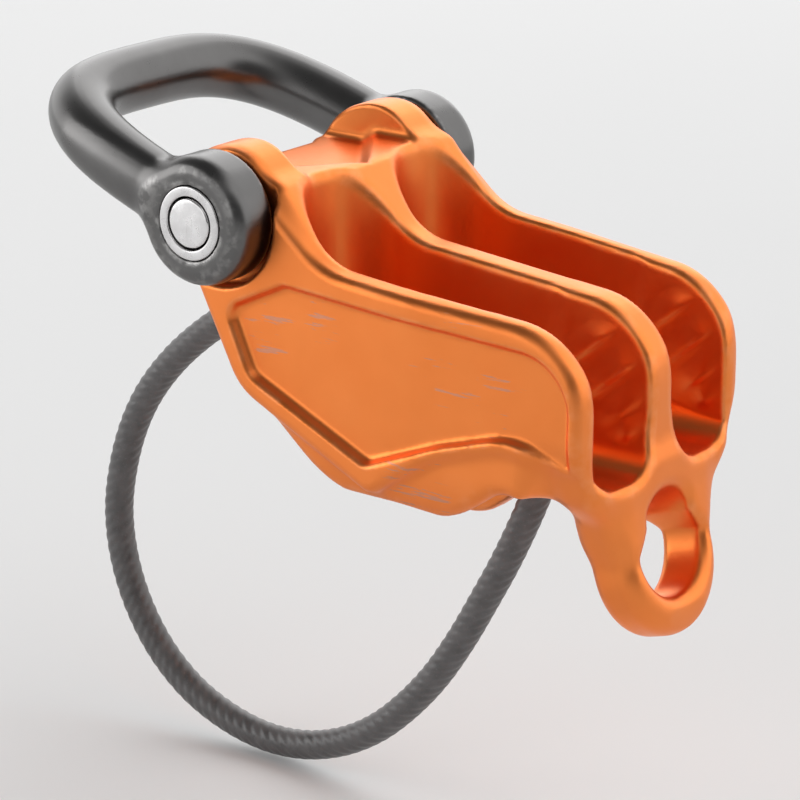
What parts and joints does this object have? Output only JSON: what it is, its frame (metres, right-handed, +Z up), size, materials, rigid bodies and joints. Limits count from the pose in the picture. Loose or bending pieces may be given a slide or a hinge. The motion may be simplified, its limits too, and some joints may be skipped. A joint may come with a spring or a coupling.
{
  "type": "two-slot rope descender",
  "caption": "Forged two-slot friction device for abseiling and belaying, with a pivoting attachment bow, a wire keeper loop and a release eye.",
  "frame": {"origin": "middle of the seat under the body, where the belay carabiner bears on the rope bights", "axes": "+X forward to the release eye, +Y to the left side along the bow's pivot axis, +Z up out of the rope slots"},
  "size_m": [0.0831, 0.044, 0.0829],
  "materials": {
    "body_anodised": "orange satin anodised",
    "bow_anodised": "dark grey satin anodised",
    "pin_steel": "turned steel",
    "bush_steel": "turned steel",
    "cable_sheath": "thin dark sheath over wire strands",
    "wire_rope": "galvanised wire rope",
    "ferrule_steel": "swaged steel"
  },
  "bodies": {
    "device": {"body": "body_anodised", "pivot_pin_left": "pin_steel", "pivot_pin_right": "pin_steel", "keeper_cable": "cable_sheath", "keeper_core": "wire_rope", "cable_ferrule_rear": "ferrule_steel", "cable_ferrule_front": "ferrule_steel"},
    "swivel": {"bow": "bow_anodised", "pivot_bush_left": "bush_steel", "pivot_bush_right": "bush_steel"}
  },
  "joints": [
    {"name": "bow_pivot", "type": "hinge", "parent": "device", "child": "swivel", "pos_m": [-0.01, 0, 0.0243], "axis": [0, 1, 0], "range_deg": [-54, 120]}
  ]
}
